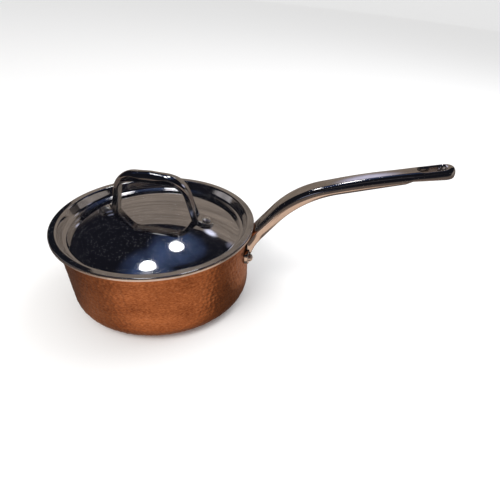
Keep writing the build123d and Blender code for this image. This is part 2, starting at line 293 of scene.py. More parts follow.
# Polished or satin steel: drift in tone, marks along and across, specks of dust, worn edges.
def steelMaterial(name, look):
    material, tree, shader, place = newMaterial(name)
    tone = useGroup(tree, drift, {"Vector": place, "Broad": look["broad"], "Small": look["small"]})
    marks = None
    for turn, across, along, cut in look["marks"]:
        one = useGroup(tree, scratches, {"Vector": place, "Turn": turn, "Across": across,
                                         "Along": along, "Cut": cut})
        marks = one if marks is None else mathNode(tree, "MAXIMUM", marks, one)
    specks = useGroup(tree, dust, {"Vector": place, "Scale": look["dustScale"],
                                   "Size": look["dustSize"], "Spread": look["dustSpread"]})
    worn = useGroup(tree, edgeWear, {"Vector": place, "Amount": look["wear"]})
    colour = mixColour(tree, tone, look["dark"] + (1,), look["light"] + (1,))
    colour = mixColour(tree, worn, colour, look["worn"] + (1,))
    colour = mixColour(tree, specks, colour, look["dustColour"] + (1,))
    tree.links.new(colour, shader.inputs["Base Color"])
    rough = mixValue(tree, tone, look["roughLow"], look["roughHigh"])
    rough = mixValue(tree, marks, rough, look["roughMark"])
    rough = mixValue(tree, worn, rough, look["roughMark"])
    rough = mixValue(tree, specks, rough, 0.7)
    tree.links.new(rough, shader.inputs["Roughness"])
    metal = mixValue(tree, specks, 1.0, 0.0)
    tree.links.new(metal, shader.inputs["Metallic"])
    high = mixValue(tree, marks, 0.5, 0.0)
    high = mixValue(tree, specks, high, 1.0)
    high = mixValue(tree, look["waviness"], high, tone)
    bump = addNode(tree, "ShaderNodeBump", {"Height": high, "Strength": look["bump"],
                                            "Distance": look["bumpDepth"]})
    tree.links.new(bump.outputs[0], shader.inputs["Normal"])
    return material


# Camera
viewCamera = {
    "place": (0.11280, -0.38082, 0.31784),      # metres
    "right": (0.99467, -0.05332, 0.08838),
    "up": (-0.03567, 0.62598, 0.77904),
    "lens": 28.80, "sensor": 36.0,
    "shift": (-0.0998, 0.0580)}
cameraData = bpy.data.cameras.new("viewCamera")
cameraData.lens = viewCamera["lens"]
cameraData.sensor_width = viewCamera["sensor"]
cameraData.shift_x, cameraData.shift_y = viewCamera["shift"]
cameraData.clip_start = 0.01
camera = bpy.data.objects.new("viewCamera", cameraData)
bpy.context.scene.collection.objects.link(camera)
rightAxis = np.array(viewCamera["right"]) / np.linalg.norm(viewCamera["right"])
upAxis = np.array(viewCamera["up"]) - rightAxis * (rightAxis @ np.array(viewCamera["up"]))
upAxis /= np.linalg.norm(upAxis)
backAxis = np.cross(rightAxis, upAxis)
turn = np.eye(4)
turn[:3, 0], turn[:3, 1], turn[:3, 2] = rightAxis, upAxis, backAxis
turn[:3, 3] = viewCamera["place"]
camera.matrix_world = Matrix(turn.tolist())
bpy.context.scene.camera = camera
bpy.context.scene.view_settings.view_transform = "Standard"
print("camera set")

# Floor, light and the cards that the metal mirrors
studio = {
    "floorSize": 30.0, "floorCuts": 9, "floorHeight": -0.0004, "floorColour": (0.93, 0.93, 0.93),
    "sky": (1.0, 1.0, 1.0), "skyPower": 0.85,
    "keyPlace": (-0.55, -0.9, 1.5), "keySize": 0.9, "keyPower": 14.0, "keyColour": (1.0, 0.96, 0.92),
    "fillPlace": (0.9, 0.5, 1.4), "fillSize": 1.2, "fillPower": 9.0, "fillColour": (0.95, 0.97, 1.0)}


def plainMaterial(name, colour, power=None):
    material = bpy.data.materials.new(name)
    material.use_nodes = True
    tree = material.node_tree
    tree.nodes.clear()
    out = addNode(tree, "ShaderNodeOutputMaterial")
    if power is None:
        shader = addNode(tree, "ShaderNodeBsdfPrincipled", {"Base Color": colour + (1,), "Roughness": 0.9})
    else:
        shader = addNode(tree, "ShaderNodeEmission", {"Color": colour + (1,), "Strength": power})
        material.cycles.emission_sampling = "NONE"
    tree.links.new(shader.outputs[0], out.inputs["Surface"])
    return material


cardFinish = {"fadeFrom": 0.12, "fadeTo": 0.5, "bandScale": (1.6, 1.6, 15.0), "bandDepth": 0.32}


# A card is a flat grid seen only in reflections: point = centre + u across + v tall, with u and v
# from -1/2 to 1/2. A soft card fades out towards its edges; a streaked one has broad level bands.
def mirrorCard(name, centre, across, tall, colour, power, finish):
    u, v = np.meshgrid(np.linspace(-0.5, 0.5, 3), np.linspace(-0.5, 0.5, 3))
    points = (np.array(centre) + u[..., None] * np.array(across) + v[..., None] * np.array(tall))
    uv = np.stack([u, v], axis=-1).reshape(-1, 2)
    card = meshPiece(name, points.reshape(-1, 3) / mm, gridQuads(3, 3, closed=False), uv)
    material = plainMaterial(name, colour, power)
    tree = material.node_tree
    glow = next(node for node in tree.nodes if node.type == "EMISSION")
    out = next(node for node in tree.nodes if node.type == "OUTPUT_MATERIAL")
    coordinates = addNode(tree, "ShaderNodeTexCoord").outputs
    if finish == "soft":
        apart = vectorNode(tree, "LENGTH", coordinates["UV"])
        mask = spanNode(tree, apart, cardFinish["fadeTo"], cardFinish["fadeFrom"], curve="SMOOTHSTEP")
        clear = addNode(tree, "ShaderNodeBsdfTransparent")
        both = addNode(tree, "ShaderNodeMixShader", {0: mask, 1: clear.outputs[0], 2: glow.outputs[0]})
        tree.links.new(both.outputs[0], out.inputs["Surface"])
    if finish == "streaked":
        stretched = vectorNode(tree, "MULTIPLY", coordinates["Object"], cardFinish["bandScale"])
        bands = addNode(tree, "ShaderNodeTexNoise", {"Vector": stretched, "Scale": 1.0, "Detail": 3.0})
        level = spanNode(tree, bands.outputs["Fac"], 0.3, 0.7, (1 - cardFinish["bandDepth"]) * power,
                         (1 + cardFinish["bandDepth"]) * power)
        tree.links.new(level, glow.inputs["Strength"])
    card.data.materials.append(material)
    hideFromAllButMirrors(card)


def hideFromAllButMirrors(thing):
    thing.visible_camera = False
    thing.visible_diffuse = False
    thing.visible_shadow = False
    thing.visible_transmission = False


# The floor is a level grid just under the pan, so that the two never share a plane.
floorLine = np.linspace(-1, 1, studio["floorCuts"]) * studio["floorSize"]
floorX, floorY = np.meshgrid(floorLine, floorLine)
floorPoints = np.stack([floorX, floorY, np.full_like(floorX, studio["floorHeight"])], axis=-1)
floor = meshPiece("floor", floorPoints.reshape(-1, 3) / mm,
                  gridQuads(studio["floorCuts"], studio["floorCuts"], closed=False))
floor.data.materials.append(plainMaterial("paleFloor", studio["floorColour"]))
floor.visible_glossy = False

world = bpy.data.worlds.new("studioSky")
world.use_nodes = True
world.node_tree.nodes["Background"].inputs["Color"].default_value = studio["sky"] + (1,)
world.node_tree.nodes["Background"].inputs["Strength"].default_value = studio["skyPower"]
bpy.context.scene.world = world


def softLight(name, place, size, power, colour):
    data = bpy.data.lights.new(name, "AREA")
    data.shape, data.size, data.energy, data.color = "DISK", size, power, colour
    light = bpy.data.objects.new(name, data)
    bpy.context.scene.collection.objects.link(light)
    away = np.array(place) / np.linalg.norm(place)
    side = np.cross((0, 0, 1), away)
    side /= np.linalg.norm(side)
    axes = np.eye(4)
    axes[:3, 0], axes[:3, 1], axes[:3, 2], axes[:3, 3] = side, np.cross(away, side), away, place
    light.matrix_world = Matrix(axes.tolist())
    light.visible_glossy = False


softLight("keyLight", studio["keyPlace"], studio["keySize"], studio["keyPower"], studio["keyColour"])
softLight("fillLight", studio["fillPlace"], studio["fillSize"], studio["fillPower"], studio["fillColour"])

# The dark room round the set, a dome with a brown floor; metal sees it instead of the sky.
# Lamps: bearing and height in degrees, radius, colour, power. Patches: middle, half sizes, colour; these
# are painted pools of light on the floor in front of and beside the pan.
room = {
    "radius": 4.0, "floorDepth": 4.0, "wallHeight": 1.1,      # metres; the floor's depth in mm
    "ceiling": (0.010, 0.0105, 0.015), "wall": (0.15, 0.125, 0.11),
    "ground": (0.15, 0.115, 0.10), "patchSoft": (0.86, 1.14),
    "paintedLightPools": [((-0.04, -0.20), (0.20, 0.15), (0.40, 0.28, 0.21)),
                ((-0.02, -0.25), (0.12, 0.13), (0.95, 0.70, 0.55)),
                ((0.17, -0.145), (0.26, 0.055), (0.90, 0.64, 0.48)),
                ((0.17, 0.05), (0.06, 0.09), (0.62, 0.47, 0.38))],
    "haloReach": 18.0, "haloColour": (0.075, 0.12, 0.27), "haloNoise": 9.0,
    "lamps": [(150.3, 76.5, 0.115, (1.0, 1.0, 1.0), 9.0), (86.4, 65.3, 0.100, (1.0, 1.0, 1.0), 9.0)],
    "lampSides": 48, "lampDistance": 1.5, "lampFrom": 0.09,      # measured from the lid's height
}


# The direction at a bearing and a height angle: (cos h cos b, cos h sin b, sin h).
def wayTo(bearing, height):
    b, h = radians(bearing), radians(height)
    return np.array([cos(h) * cos(b), cos(h) * sin(b), sin(h)])


roomAngle = np.linspace(0, pi / 2, 24)
roomFloor = np.stack([[0.0, 400.0, 1200.0, 2500.0], np.full(4, -room["floorDepth"])], axis=-1)
roomDome = np.stack([np.cos(roomAngle), np.sin(roomAngle)], axis=-1) * room["radius"] / mm
roomSection = np.concatenate([roomFloor, roomDome])
roomSection[-1, 0] = 0
roomShell = turnedPiece("roomShell", roomSection, 64, sharpAngle=180)
roomMaterial, tree, shader, place = newMaterial("roomTones")
tree.nodes.remove(shader)
split = addNode(tree, "ShaderNodeSeparateXYZ", {"Vector": place})
high = spanNode(tree, split.outputs["Z"], 0.0, room["wallHeight"], curve="SMOOTHSTEP")
onFloor = mathNode(tree, "LESS_THAN", split.outputs["Z"], 0.001)
ground = room["ground"] + (1,)
for (patchX, patchY), (halfX, halfY), patchColour in room["paintedLightPools"]:      # painted pools of light on the floor, seen only in the metal, where they light its lower side
    shifted = vectorNode(tree, "SUBTRACT", place, (patchX, patchY, 0))
    scaled = vectorNode(tree, "MULTIPLY", shifted, (1 / halfX, 1 / halfY, 0))
    inLightPool = spanNode(tree, vectorNode(tree, "LENGTH", scaled), room["patchSoft"][1], room["patchSoft"][0],
                       curve="SMOOTHSTEP")
    ground = mixColour(tree, inLightPool, ground, patchColour + (1,))
tone = mixColour(tree, high, room["wall"] + (1,), room["ceiling"] + (1,))
way = vectorNode(tree, "NORMALIZE", place)
cloud = addNode(tree, "ShaderNodeTexNoise", {"Vector": way, "Scale": room["haloNoise"], "Detail": 2.0})
for bearing, height, *_ in room["lamps"]:      # faint blue glow about each lamp
    halo = spanNode(tree, vectorNode(tree, "DOT_PRODUCT", way, tuple(wayTo(bearing, height))),
                    cos(radians(room["haloReach"])), 1.0, curve="SMOOTHERSTEP")
    share = mathNode(tree, "MULTIPLY", halo, cloud.outputs["Fac"])
    tone = mixColour(tree, share, tone, room["haloColour"] + (1,))
tone = mixColour(tree, onFloor, tone, ground)
glow = addNode(tree, "ShaderNodeEmission", {"Color": tone, "Strength": 1.0})
roomOut = next(node for node in tree.nodes if node.type == "OUTPUT_MATERIAL")
tree.links.new(glow.outputs[0], roomOut.inputs["Surface"])
roomMaterial.cycles.emission_sampling = "NONE"
roomShell.data.materials.append(roomMaterial)
hideFromAllButMirrors(roomShell)

# Cards: place, width and height vectors in metres, colour, power, finish
cards = {
    "backCard": ((0.30, 1.15, 0.62), (1.95, 0.0, 0.0), (0.0, 0.0, 1.24),
                 (0.26, 0.215, 0.18), 1.0, "streaked"),
    "highCard": ((0.264, 0.642, 0.719), (0.16, -0.055, 0.0), (0.0, -0.08, 0.09),
                 (0.80, 0.82, 1.0), 1.6, "soft"),
    "handleCard": ((0.222, 0.12, 0.236), (0.125, 0.0, 0.014), (0.0, -0.03, 0.08),
                   (0.72, 0.72, 0.95), 1.1, "soft"),
    "frontCard": ((-0.25, -1.6, 0.72), (0.9, 0.0, 0.0), (0.0, 0.0, 0.34),
                  (0.42, 0.45, 0.62), 1.0, "soft"),
    "overFrontCard": ((0.20, -0.80, 1.15), (0.9, 0.0, 0.0), (0.0, 0.1, 0.15),
                      (0.12, 0.115, 0.13), 1.0, "soft"),
    "rightCard": ((1.7, 0.1, 0.40), (0.0, 1.6, 0.0), (0.0, 0.0, 0.70),
                  (0.26, 0.23, 0.21), 1.0, "streaked"),
    "leftCard": ((-1.7, -0.2, 0.30), (0.0, 1.2, 0.0), (0.0, 0.0, 0.45),
                 (0.36, 0.34, 0.34), 1.0, "streaked"),
}
for cardName, (centre, across, tall, colour, power, finish) in cards.items():
    mirrorCard(cardName, centre, across, tall, colour, power, finish)


# A round lamp seen in the lid: rim = centre + radius (cos a side + sin a up), facing the pan.
def roundLamp(name, bearing, height, radius, colour, power):
    out = wayTo(bearing, height)
    side = np.cross((0, 0, 1), out)
    side /= np.linalg.norm(side)
    up = np.cross(out, side)
    ring = np.linspace(0, 2 * pi, room["lampSides"], endpoint=False)[:, None]
    centre = out * room["lampDistance"] + np.array([0, 0, room["lampFrom"]])
    rim = centre + radius * (np.cos(ring) * side + np.sin(ring) * up)
    points = np.concatenate([rim, [centre]]) / mm
    lamp = meshPiece(name, points, poleFan(room["lampSides"], 0, room["lampSides"]))
    lamp.data.materials.append(plainMaterial(name, colour, power))
    hideFromAllButMirrors(lamp)


for index, (bearing, height, radius, colour, power) in enumerate(room["lamps"]):
    roundLamp(f"roundLamp{index}", bearing, height, radius, colour, power)
print("studio set")

# Copper shell
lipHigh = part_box("steel_lining")[1].z / mm
copperHigh = np.array(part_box("copper_shell")[1]) / mm
copper = {
    "lean": 0.8, "baseRadius": 95.6, "corner": 17.6, "flare": 4.0, "thick": 0.5,
    "columns": 720, "dentPitch": 4.8, "dentDepth": 0.34, "dentScatter": 0.55, "rowScatter": 0.6,
    "dentRows": 40, "dentWeight": (0.65, 1.15), "dentReach": 0.42, "dentFloor": 1.15, "seed": 7,
    "deep": (0.20, 0.062, 0.022), "warm": (0.58, 0.25, 0.11), "bright": (0.80, 0.40, 0.22)}
lipRadius = copperHigh[0]
lipUnder = copperHigh[2] - copper["thick"]
lean = tan(radians(copper["lean"]))


# Half section of the ply: base, corner, leaning wall and flare outside, then the same inside.
def shellSection():
    base, t = copper["baseRadius"], copper["thick"]
    outside = roundedPath([(0, 0), (base, 0), (base + lipUnder * lean, lipUnder), (lipRadius, lipUnder)],
                          [copper["corner"], copper["flare"]], [6, 64, 5], [28, 7])
    shift = t / cos(radians(copper["lean"]))
    inside = roundedPath([(0, t), (base + t * lean - shift, t),
                          (base + (lipUnder + t) * lean - shift, lipUnder + t), (lipRadius, lipUnder + t)],
                         [copper["corner"] - t, copper["flare"] + t], [3, 4, 3], [8, 5])
    return np.concatenate([outside, inside[::-1]])


# Hammer marks: a lattice of round dents in rows, each row shifted. Lift = -depth (1 - d / reach),
# where d is the least weighted squared distance to a dent's middle, so dents meet in soft ridges.
def hammerMarks(angle, run):
    rng = np.random.default_rng(copper["seed"])
    pitch = copper["dentPitch"]
    around = int(round(2 * pi * copper["baseRadius"] / pitch))
    rowCount = copper["dentRows"]
    jitter = rng.uniform(-0.5, 0.5, (rowCount, around, 2)) * copper["dentScatter"]
    weight = rng.uniform(*copper["dentWeight"], (rowCount, around))
    column = angle / (2 * pi) * around + 0 * run
    row = run / pitch + 0 * angle
    nearest = np.full(column.shape, np.inf)
    for dRow in (-1, 0, 1):
        for dColumn in (-1, 0, 1):
            j = np.floor(row).astype(int) + dRow
            offset = 0.5 * (j % 2)
            i = np.floor(column - offset).astype(int) + dColumn
            jj, ii = np.clip(j, 0, rowCount - 1), i % around
            away = ((column - offset - i - 0.5 - jitter[jj, ii, 0]) ** 2
                    + (row - j - 0.5 - copper["rowScatter"] * jitter[jj, ii, 1]) ** 2) / weight[jj, ii]
            nearest = np.minimum(nearest, away)
    return -copper["dentDepth"] * (1 - np.clip(nearest / copper["dentReach"], 0, copper["dentFloor"]))


# The marks fade in above the base's rounding and out below the flare.
def dentLift(angle, run):
    wallFrom = copper["baseRadius"] - copper["corner"]
    wallTo = wallFrom + copper["corner"] * pi / 2 + lipUnder - copper["corner"] - copper["flare"] - 1
    fade = np.clip((run - wallFrom - 3) / 9, 0, 1) * np.clip((wallTo - run) / 3, 0, 1)
    return hammerMarks(angle, run) * fade


copperWall = turnedPiece("copperWall", shellSection(), copper["columns"], dentLift)


def copperMaterial():
    material, tree, shader, place = newMaterial("hammeredCopper")
    # Partly painted shading: the drift between the deep and the warm copper is squeezed into level rows.
    # Over the copper's own uneven tone, these rows stand in for light and shade along the hammered rows.
    flattened = vectorNode(tree, "MULTIPLY", place, (1.0, 1.0, 2.6))
    tone = useGroup(tree, drift, {"Vector": flattened, "Broad": 20.0, "Small": 420.0, "Share": 0.7})
    tarnish = useGroup(tree, drift, {"Vector": place, "Broad": 46.0, "Small": 420.0, "Share": 0.35})
    worn = useGroup(tree, edgeWear, {"Vector": place, "Amount": 0.8})
    specks = useGroup(tree, dust, {"Vector": place, "Scale": 700.0, "Size": 0.14, "Spread": 0.25})
    marks = useGroup(tree, scratches, {"Vector": place, "Turn": 0.0, "Across": 700.0, "Along": 9.0,
                                       "Cut": 0.67})
    hollow = addNode(tree, "ShaderNodeTexVoronoi", {"Vector": place, "Scale": 230.0, "Smoothness": 0.6},
                     feature="SMOOTH_F1")
    split = addNode(tree, "ShaderNodeSeparateXYZ", {"Vector": place})
    # Painted shade: the lowest 30 mm of the copper is darkened towards the deep colour, standing in for
    # shade where the pan meets the floor.
    low = spanNode(tree, split.outputs["Z"], 0.0, 0.03, 0.55, 0.0, "SMOOTHSTEP")
    colour = mixColour(tree, tone, copper["deep"] + (1,), copper["warm"] + (1,))
    # Painted highlights: the middle of each hammer dent is lightened towards the bright copper, standing in
    # for light caught in the dents.
    spot = spanNode(tree, hollow.outputs["Distance"], 0.05, 0.40, 0.22, 0.0)
    colour = mixColour(tree, spot, colour, copper["bright"] + (1,))
    colour = mixColour(tree, low, colour, copper["deep"] + (1,))
    colour = mixColour(tree, worn, colour, copper["bright"] + (1,))
    tree.links.new(colour, shader.inputs["Base Color"])
    rough = mixValue(tree, tarnish, 0.27, 0.46)
    rough = mixValue(tree, marks, rough, 0.6)
    rough = mixValue(tree, specks, rough, 0.8)
    tree.links.new(rough, shader.inputs["Roughness"])
    shader.inputs["Metallic"].default_value = 1.0
    high = mixValue(tree, 0.55, hollow.outputs["Distance"], tarnish)
    bump = addNode(tree, "ShaderNodeBump", {"Height": high, "Strength": 0.5, "Distance": 0.00045})
    tree.links.new(bump.outputs[0], shader.inputs["Normal"])
    return material


copperWall.data.materials.append(copperMaterial())
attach(copperWall, "pan")
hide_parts("copper_shell")
print("copper wall:", len(copperWall.data.polygons), "faces")

# Core and lining of the pan
coreLook = {"broad": 30.0, "small": 300.0, "marks": [(0.0, 1200.0, 30.0, 0.6)], "dustScale": 900.0,
            "dustSize": 0.12, "dustSpread": 0.3, "wear": 0.3, "dark": (0.62, 0.61, 0.60),
            "light": (0.80, 0.79, 0.78), "worn": (0.9, 0.9, 0.9), "dustColour": (0.6, 0.58, 0.55),
            "roughLow": 0.26, "roughHigh": 0.42, "roughMark": 0.5, "waviness": 0.3, "bump": 0.2,
            "bumpDepth": 0.0001}
paint("aluminium_core", steelMaterial("aluminiumEdge", coreLook))
liningLook = {"broad": 18.0, "small": 240.0,
              "marks": [(0.3, 1500.0, 25.0, 0.60), (1.9, 1300.0, 20.0, 0.64)],
              "dustScale": 1100.0, "dustSize": 0.10, "dustSpread": 0.14, "wear": 0.5,
              "dark": (0.50, 0.47, 0.45), "light": (0.66, 0.63, 0.61), "worn": (0.95, 0.90, 0.86),
              "dustColour": (0.6, 0.57, 0.54), "roughLow": 0.24, "roughHigh": 0.36, "roughMark": 0.37,
              "waviness": 0.4, "bump": 0.25, "bumpDepth": 0.00012}
paint("steel_lining", steelMaterial("satinLining", liningLook))

# Lid
lidHigh = np.array(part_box("lid_shell")[1]) / mm
lid = {
    "thick": 1.0, "stepRadius": 95.6, "creaseRadius": 90.5, "creaseHeight": 78.4,
    "stepBend": 2.2, "creaseBend": 4.0, "columns": 384, "edgeRound": 0.35,
    "arcPoints": 70, "arcCut": 8}      # the arc's last points make way for the crease
flangeRadius = lidHigh[0]
domeTop = lidHigh[2]
panTop = lipHigh
flangeTop = panTop + lid["thick"]
domeRise = domeTop - lid["creaseHeight"]
domeRadius = (lid["creaseRadius"] ** 2 + domeRise ** 2) / (2 * domeRise)
domeCentre = domeTop - domeRadius
stepSlope = atan2(flangeTop - lid["creaseHeight"], lid["stepRadius"] - lid["creaseRadius"])


# Where the step wall meets the dome, on the face this far below the top one.
def creaseCorner(below):
    z = lid["creaseHeight"]
    for _ in range(12):
        r = lid["creaseRadius"] + (z - lid["creaseHeight"]) / tan(stepSlope) + below / sin(stepSlope)
        z = domeCentre + sqrt((domeRadius - below) ** 2 - r ** 2)
    return r, z


# One face of the lid: an arc of the dome, the crease, the step wall and the flange.
def lidFace(below, flangeZ, bend, crease):
    corner = creaseCorner(below)
    edge = asin(corner[0] / (domeRadius - below))
    a = np.linspace(0, edge, lid["arcPoints"], endpoint=False)
    arc = np.stack([np.sin(a), np.cos(a)], axis=-1) * (domeRadius - below) + [0, domeCentre]
    lastArc = arc[-lid["arcCut"]]
    stepR = lid["creaseRadius"] + (flangeZ - lid["creaseHeight"]) / tan(stepSlope) + below / sin(stepSlope)
    rest = roundedPath([lastArc, corner, (stepR, flangeZ), (flangeRadius, flangeZ)],
                       [crease, bend], [4, 7, 7], [12, 8])
    return np.concatenate([arc[:-lid["arcCut"]], rest])


# Top face outwards, the rounded rim, then the underside back to the middle.
def lidSection():
    t = lid["thick"]
    top = lidFace(0.0, flangeTop, lid["stepBend"], lid["creaseBend"])
    under = lidFace(t, panTop, lid["stepBend"] - t, lid["creaseBend"] + t)
    e = lid["edgeRound"]
    top[-1, 0] -= e
    under[-1, 0] -= e
    edge = np.array([[flangeRadius, flangeTop - e], [flangeRadius, panTop + e]])
    return np.concatenate([top, edge, under[::-1]])


lidShell = turnedPiece("lidDome", lidSection()[::-1], lid["columns"], sharpAngle=50)
lidLook = {"broad": 14.0, "small": 90.0,
           "marks": [(0.2, 2300.0, 22.0, 0.655), (1.3, 2100.0, 30.0, 0.675), (2.4, 2500.0, 26.0, 0.69)],
           "dustScale": 1500.0, "dustSize": 0.15, "dustSpread": 0.34, "wear": 0.6,
           "dark": (0.58, 0.58, 0.60), "light": (0.70, 0.69, 0.69), "worn": (0.9, 0.9, 0.9),
           "dustColour": (0.75, 0.75, 0.78), "roughLow": 0.035, "roughHigh": 0.085, "roughMark": 0.26,
           "waviness": 0.35, "bump": 0.12, "bumpDepth": 0.00012}
lidShell.data.materials.append(steelMaterial("mirrorLid", lidLook))
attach(lidShell, "lid")
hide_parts("lid_shell")
print("lid:", len(lidShell.data.polygons), "faces")

# Long handle
# Rise from 0 to 1: t t (3 - 2 t). A ramp is a start and a length.
def smoothRise(value):
    t = np.clip(value, 0, 1)
    return t * t * (3 - 2 * t)


def riseOver(value, ramp):
    return smoothRise((value - ramp[0]) / ramp[1])


handle = {
    "crown": [(86.0, 65.6), (142.0, 132.3), (210.6, 151.0), (320.0, 171.75)], "crownRadii": [99.0, 600.0],
    "belly": [(96.5, 50.0), (104.5, 68.0), (152.4, 125.7), (256.0, 149.6), (262.5, 152.9), (330.0, 161.43)],
    "bellyRadii": [25.0, 110.0, 3.0, 3.0],
    "half": 11.5, "paddleHalf": 12.0, "rootHalf": 16.0, "tipCentre": 295.0,
    "shoulderWide": (4.4, 6.0), "shoulderDeep": (5.6, 7.6), "crownDrop": 0.9, "edge": 1.1, "sideTuck": 0.9,
    "channelHalf": 7.6, "channelSkin": 4.0, "channelSpan": (114.0, 252.0),
    "slotSpan": (268.5, 297.5), "slotHalf": 6.0, "slotBevel": 2.8,
    "plateHalf": (23.0, 9.5), "plateMiddle": 56.0, "plateThick": 3.8, "plateEdge": 0.9,
    "wallAtBase": copper["baseRadius"], "clear": 1.2,
    "lineFrom": 258.0, "lineStep": 0.8, "uprightRamp": (190.0, 60.0), "rootRamp": (86.0, 18.0),
    "paddleRamp": (240.0, 50.0), "shoulderRamp": (110.0, 150.0), "channelEnd": 5.0}


# Half the slot's width at a place along the handle, for the slot grown by an amount all round.
def slotHalfAt(along, grown):
    radius = handle["slotHalf"] + grown
    first = handle["slotSpan"][0] + handle["slotHalf"]
    last = handle["slotSpan"][1] - handle["slotHalf"]
    beyond = np.maximum(first - along, 0) + np.maximum(along - last, 0)
    return np.sqrt(np.maximum(radius ** 2 - beyond ** 2, 0))


# Where each ray from a path's points, down its section direction, meets the belly line.
def depthToBelly(points, down, belly):
    along = np.stack([-down[:, 1], down[:, 0]], axis=-1)
    ahead = np.einsum("ijk,ik->ij", belly[None] - points[:, None], along)
    after = np.clip((ahead < 0).sum(axis=1), 1, len(belly) - 1)
    row = np.arange(len(points))
    a0, a1 = ahead[row, after - 1], ahead[row, after]
    hit = belly[after - 1] + (belly[after] - belly[after - 1]) * (a0 / (a0 - a1))[:, None]
    return np.einsum("ij,ij->i", hit - points, down)


# Half section carried along the crown line: top face, shoulder, side, bottom edge, channel.
# drop = crown + shoulder + slot bevel, each a function of the distance to its own outline.
def handleGrid():
    h = handle
    crown = roundedPath(h["crown"], h["crownRadii"], [26, 34, 60], [46, 10])
    crown = crown[crown[:, 0] < h["lineFrom"]]
    tip = h["tipCentre"] + h["paddleHalf"] * np.sin(np.linspace(0, pi / 2, 22))
    near = np.array([0, 0.05, 0.2, 0.45, 0.8])
    far = np.unique(np.round(np.concatenate([
        np.arange(h["lineFrom"] + 0.5, h["tipCentre"], h["lineStep"]), tip,
        h["slotSpan"][0] + near, h["slotSpan"][1] - near,
        [h["slotSpan"][0] - h["slotBevel"], h["slotSpan"][1] + h["slotBevel"]]]), 3))
    slope = (h["crown"][3][1] - h["crown"][2][1]) / (h["crown"][3][0] - h["crown"][2][0])
    line = np.stack([far, h["crown"][2][1] + (far - h["crown"][2][0]) * slope], axis=-1)
    path = np.concatenate([crown, line])
    run = np.gradient(path, axis=0)
    run /= np.linalg.norm(run, axis=1)[:, None]
    upright = riseOver(path[:, :1], h["uprightRamp"])
    down = np.stack([run[:, 1], -run[:, 0]], axis=-1) * (1 - upright) + np.array([0.0, -1.0]) * upright
    down /= np.linalg.norm(down, axis=1)[:, None]
    belly = roundedPath(h["belly"], h["bellyRadii"], [8, 20, 60, 3, 40], [12, 50, 8, 8])
    deep = depthToBelly(path, down, belly)

    x = path[:, :1]
    half = (h["half"] + (h["rootHalf"] - h["half"]) * (1 - riseOver(x, h["rootRamp"]))
            + (h["paddleHalf"] - h["half"]) * riseOver(x, h["paddleRamp"]))
    beyond = np.maximum(x - h["tipCentre"], 0)
    half = np.where(beyond > 0, np.sqrt(np.maximum(h["paddleHalf"] ** 2 - beyond ** 2, 0)), half)
    small = np.minimum(half / 12, 1)
    along = riseOver(x, h["shoulderRamp"])
    wide = h["shoulderWide"][0] + (h["shoulderWide"][1] - h["shoulderWide"][0]) * along
    tall = h["shoulderDeep"][0] + (h["shoulderDeep"][1] - h["shoulderDeep"][0]) * along
    tall = np.minimum(tall, deep[:, None] - h["edge"] - 0.6)

    # top columns, from the slot's edge or the middle line out to the outline
    rims = [np.maximum(slotHalfAt(x, h["slotBevel"] * k / 3), 0.6 * k * small) for k in range(4)]
    rims[0] = slotHalfAt(x, 0)
    flat = rims[3] + (half - wide * small - rims[3]) * np.linspace(0, 1, 8)[None, 1:-1]
    swing = np.linspace(0, pi / 2, 11)[None, :]
    rounded = half - wide * small * (1 - np.sin(swing))
    top = np.concatenate(rims + [flat, rounded], axis=1)
    inside = np.where(beyond > 0, h["paddleHalf"] - np.hypot(beyond, top), half - top)
    shoulder = tall * (1 - np.sqrt(np.clip(1 - np.clip(1 - inside / wide, 0, 1) ** 2, 0, 1)))
    first = h["slotSpan"][0] + h["slotHalf"]
    last = h["slotSpan"][1] - h["slotHalf"]
    fromSlot = np.hypot(np.maximum(first - x, 0) + np.maximum(x - last, 0), top) - h["slotHalf"]
    intoBevel = np.clip(1 - fromSlot / h["slotBevel"], 0, 1)
    bevel = h["slotBevel"] * (1 - np.sqrt(np.clip(1 - intoBevel ** 2, 0, 1)))
    crownFall = h["crownDrop"] * (top / 11.5) ** 2 - 0.3
    topDeep = crownFall * (1 - np.clip(shoulder / tall, 0, 1)) + shoulder + 0.75 * bevel

    # side, bottom edge, bottom face, channel wall, channel roof
    edge = h["edge"] * small
    full = deep[:, None]
    share = np.linspace(0, 1, 8)[None, 1:]
    side = half - h["sideTuck"] * small * share ** 2
    sideDeep = tall + (full - h["edge"] - tall) * share
    turn = np.linspace(0, pi / 2, 5)[None, 1:]
    under = half - h["sideTuck"] * small - edge * (1 - np.cos(turn))
    underDeep = full - h["edge"] * (1 - np.sin(turn))
    channelAt = (smoothRise((x - h["channelSpan"][0]) / h["channelEnd"])
                 * smoothRise((h["channelSpan"][1] - x) / h["channelEnd"]))
    hollow = np.maximum(full - h["channelSkin"], 0) * channelAt
    wallY = small * (h["channelHalf"] + np.array([[0.5, 0.0, -0.08, -0.25, -0.6, -1.3]]))
    wallDeep = full - hollow * np.array([[0.0, 0.06, 0.25, 0.75, 0.93, 1.0]])
    roofY = rims[0] + (small * (h["channelHalf"] - 1.3) - rims[0]) * np.array([[0.75, 0.5, 0.25, 0.0]])
    roofDeep = full - hollow * np.ones((1, 4))
    across = np.concatenate([top, side, under, wallY, roofY], axis=1)
    depth = np.concatenate([topDeep, sideDeep, underDeep, wallDeep, roofDeep], axis=1)
    placeX = path[:, :1] + down[:, :1] * depth
    placeZ = path[:, 1:] + down[:, 1:] * depth
    grid = np.stack([placeX, across, placeZ], axis=-1)

